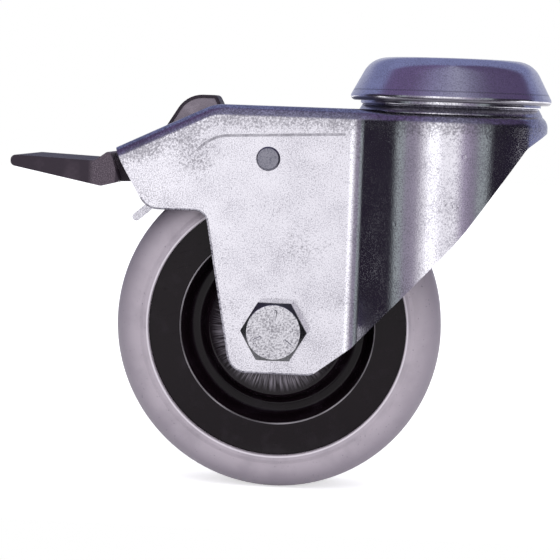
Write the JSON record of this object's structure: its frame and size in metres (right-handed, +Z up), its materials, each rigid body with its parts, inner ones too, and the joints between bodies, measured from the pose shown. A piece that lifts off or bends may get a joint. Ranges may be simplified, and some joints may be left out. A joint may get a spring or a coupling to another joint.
{
  "type": "braked swivel castor",
  "caption": "Bolt-hole swivel castor: pressed steel fork with a rounded nose, solid wheel with a grey tyre, and a foot brake that locks both wheel and swivel.",
  "frame": {"origin": "centre of the bolt hole on the top face of the head", "axes": "+Z up along the swivel axis, +X towards the nose of the fork at rest, +Y towards the side with the axle nut"},
  "size_m": [0.1222, 0.0477, 0.1],
  "materials": {
    "fork_zinc": "bright zinc plate with a fine grain",
    "head_zinc": "bright zinc plate, spun",
    "race_steel": "hardened and dull",
    "ball_steel": "polished",
    "axle_zinc": "bright zinc plate",
    "rivet_steel": "zinc plate, pressed head",
    "sleeve_steel": "smooth and lightly greased",
    "insert_nylon": "smooth nylon",
    "hub_plastic": "glossy moulding with fine scratches",
    "tyre_grey": "smooth non-marking tread",
    "plate_steel": "zinc plate",
    "leaf_steel": "blued spring steel",
    "lever_plastic": "fine-grained moulding"
  },
  "bodies": {
    "head": {"head_cup": "head_zinc", "kingpin": "axle_zinc", "lower_race": "race_steel", "lock_ring": "race_steel"},
    "swivel_fork": {"fork": "fork_zinc", "dust_ring": "head_zinc", "axle_bolt": "axle_zinc", "axle_nut": "axle_zinc", "nut_insert": "insert_nylon", "axle_sleeve": "sleeve_steel", "pivot_rivet_near": "rivet_steel", "pivot_rivet_far": "rivet_steel"},
    "road_wheel": {"wheel_centre": "hub_plastic", "tyre": "tyre_grey"},
    "brake_rocker": {"brake_plate": "plate_steel", "lever_pin": "rivet_steel", "return_leaf": "leaf_steel", "leaf_rivet": "rivet_steel"},
    "foot_lever": {"brake_lever": "lever_plastic"},
    "upper_ball_row": {"upper_balls": "ball_steel"},
    "lower_ball_row": {"lower_balls": "ball_steel"}
  },
  "joints": [
    {"name": "swivel", "type": "hinge", "parent": "head", "child": "swivel_fork", "pos_m": [0, 0, -0.01], "axis": [0, 0, 1], "continuous": true},
    {"name": "wheel_spin", "type": "hinge", "parent": "swivel_fork", "child": "road_wheel", "pos_m": [-0.0375, 0, -0.0625], "axis": [0, 1, 0], "continuous": true},
    {"name": "plate_rock", "type": "hinge", "parent": "swivel_fork", "child": "brake_rocker", "pos_m": [-0.0404, 0, -0.0239], "axis": [0, -1, 0], "range_deg": [0, 3.5], "deforming": ["return_leaf"]},
    {"name": "lever_press", "type": "hinge", "parent": "brake_rocker", "child": "foot_lever", "pos_m": [-0.064, 0, -0.0255], "axis": [0, -1, 0], "range_deg": [0, 20]},
    {"name": "upper_ball_orbit", "type": "hinge", "parent": "head", "child": "upper_ball_row", "pos_m": [0, 0, -0.0042], "axis": [0, 0, 1], "continuous": true},
    {"name": "lower_ball_orbit", "type": "hinge", "parent": "head", "child": "lower_ball_row", "pos_m": [0, 0, -0.0102], "axis": [0, 0, 1], "continuous": true}
  ],
  "couplings": [
    {"joint": "plate_rock", "follows": "lever_press", "ratio": 0.175},
    {"joint": "upper_ball_orbit", "follows": "swivel", "ratio": 0.5},
    {"joint": "lower_ball_orbit", "follows": "swivel", "ratio": 0.5}
  ]
}
